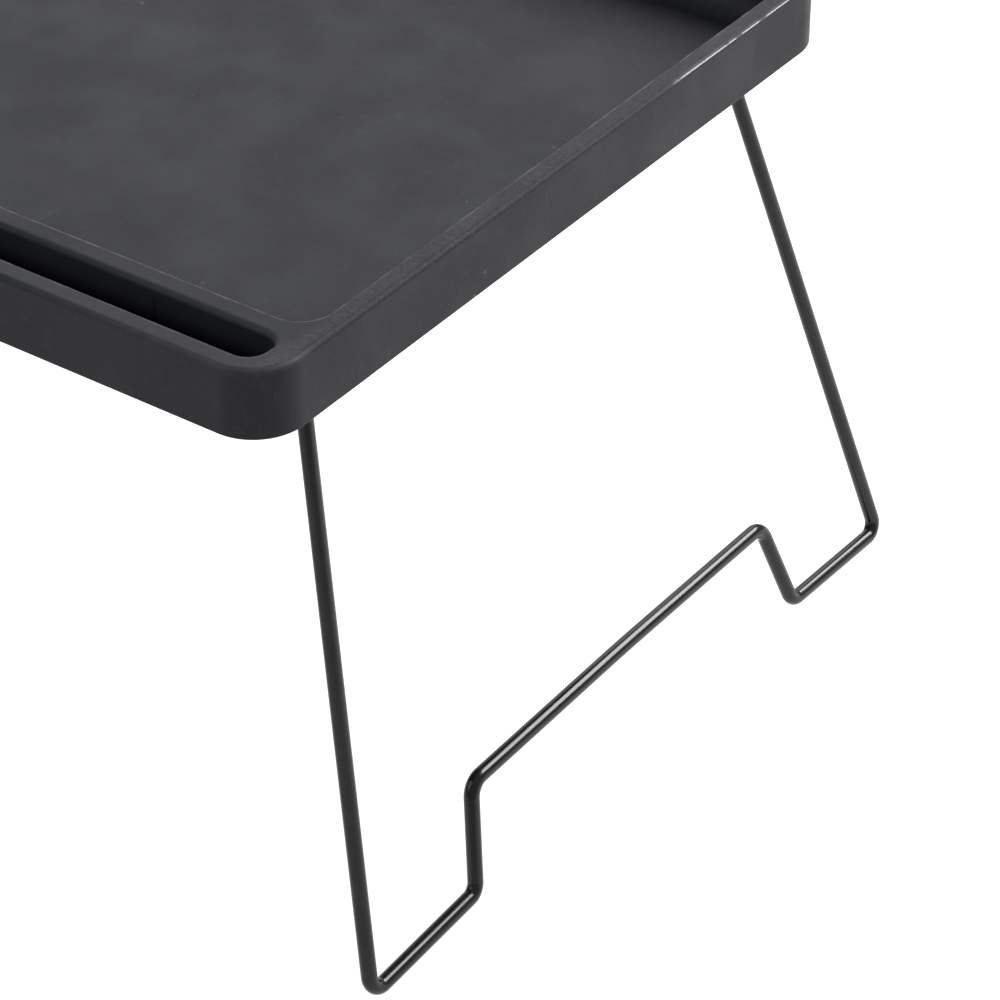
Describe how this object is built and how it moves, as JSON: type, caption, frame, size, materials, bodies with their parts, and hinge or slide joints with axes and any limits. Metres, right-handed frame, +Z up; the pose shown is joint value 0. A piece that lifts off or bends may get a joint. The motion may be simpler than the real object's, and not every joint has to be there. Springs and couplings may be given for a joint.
{
  "type": "folding tray table",
  "caption": "Folding lap or bed tray table: shallow moulded tray with a device slot along its front bar, on bent-wire leg frames that splay outwards and swing in to lie flat beneath it.",
  "frame": {"origin": "on the floor, under the middle of the tray", "axes": "+X towards the right-hand leg frame, +Y towards the back rim (the device slot is at the front, -Y), +Z up"},
  "size_m": [0.639, 0.36, 0.2595],
  "materials": {
    "tray_plastic": "dark grey moulded polypropylene, matte with a soft sheen and fine scuffs",
    "wire_coating": "black powder-coated bent steel wire, satin gloss",
    "cap_plastic": "black moulded nylon, matte",
    "bush_plastic": "natural acetal, off-white, smooth",
    "plated_steel": "bright zinc-plated screws"
  },
  "bodies": {
    "tray_body": {"tray": "tray_plastic", "hinge_cap_front_right": "cap_plastic", "hinge_cap_back_right": "cap_plastic", "hinge_cap_front_left": "cap_plastic", "hinge_cap_back_left": "cap_plastic", "pivot_bush_front_right": "bush_plastic", "pivot_bush_back_right": "bush_plastic", "pivot_bush_front_left": "bush_plastic", "pivot_bush_back_left": "bush_plastic", "hinge_screw_front_right_inner": "plated_steel", "hinge_screw_front_right_outer": "plated_steel", "hinge_screw_back_right_inner": "plated_steel", "hinge_screw_back_right_outer": "plated_steel", "hinge_screw_front_left_inner": "plated_steel", "hinge_screw_front_left_outer": "plated_steel", "hinge_screw_back_left_inner": "plated_steel", "hinge_screw_back_left_outer": "plated_steel", "storage_clip_right": "cap_plastic", "clip_screw_right": "plated_steel", "storage_clip_left": "cap_plastic", "clip_screw_left": "plated_steel"},
    "right_leg": {"leg_frame_right": "wire_coating"},
    "left_leg": {"leg_frame_left": "wire_coating"}
  },
  "joints": [
    {"name": "right_leg_fold", "type": "hinge", "parent": "tray_body", "child": "right_leg", "pos_m": [0.2612, 0, 0.2254], "axis": [0, 1, 0], "range_deg": [0, 103.3]},
    {"name": "left_leg_fold", "type": "hinge", "parent": "tray_body", "child": "left_leg", "pos_m": [-0.2612, 0, 0.2254], "axis": [0, -1, 0], "range_deg": [0, 103.3]}
  ]
}
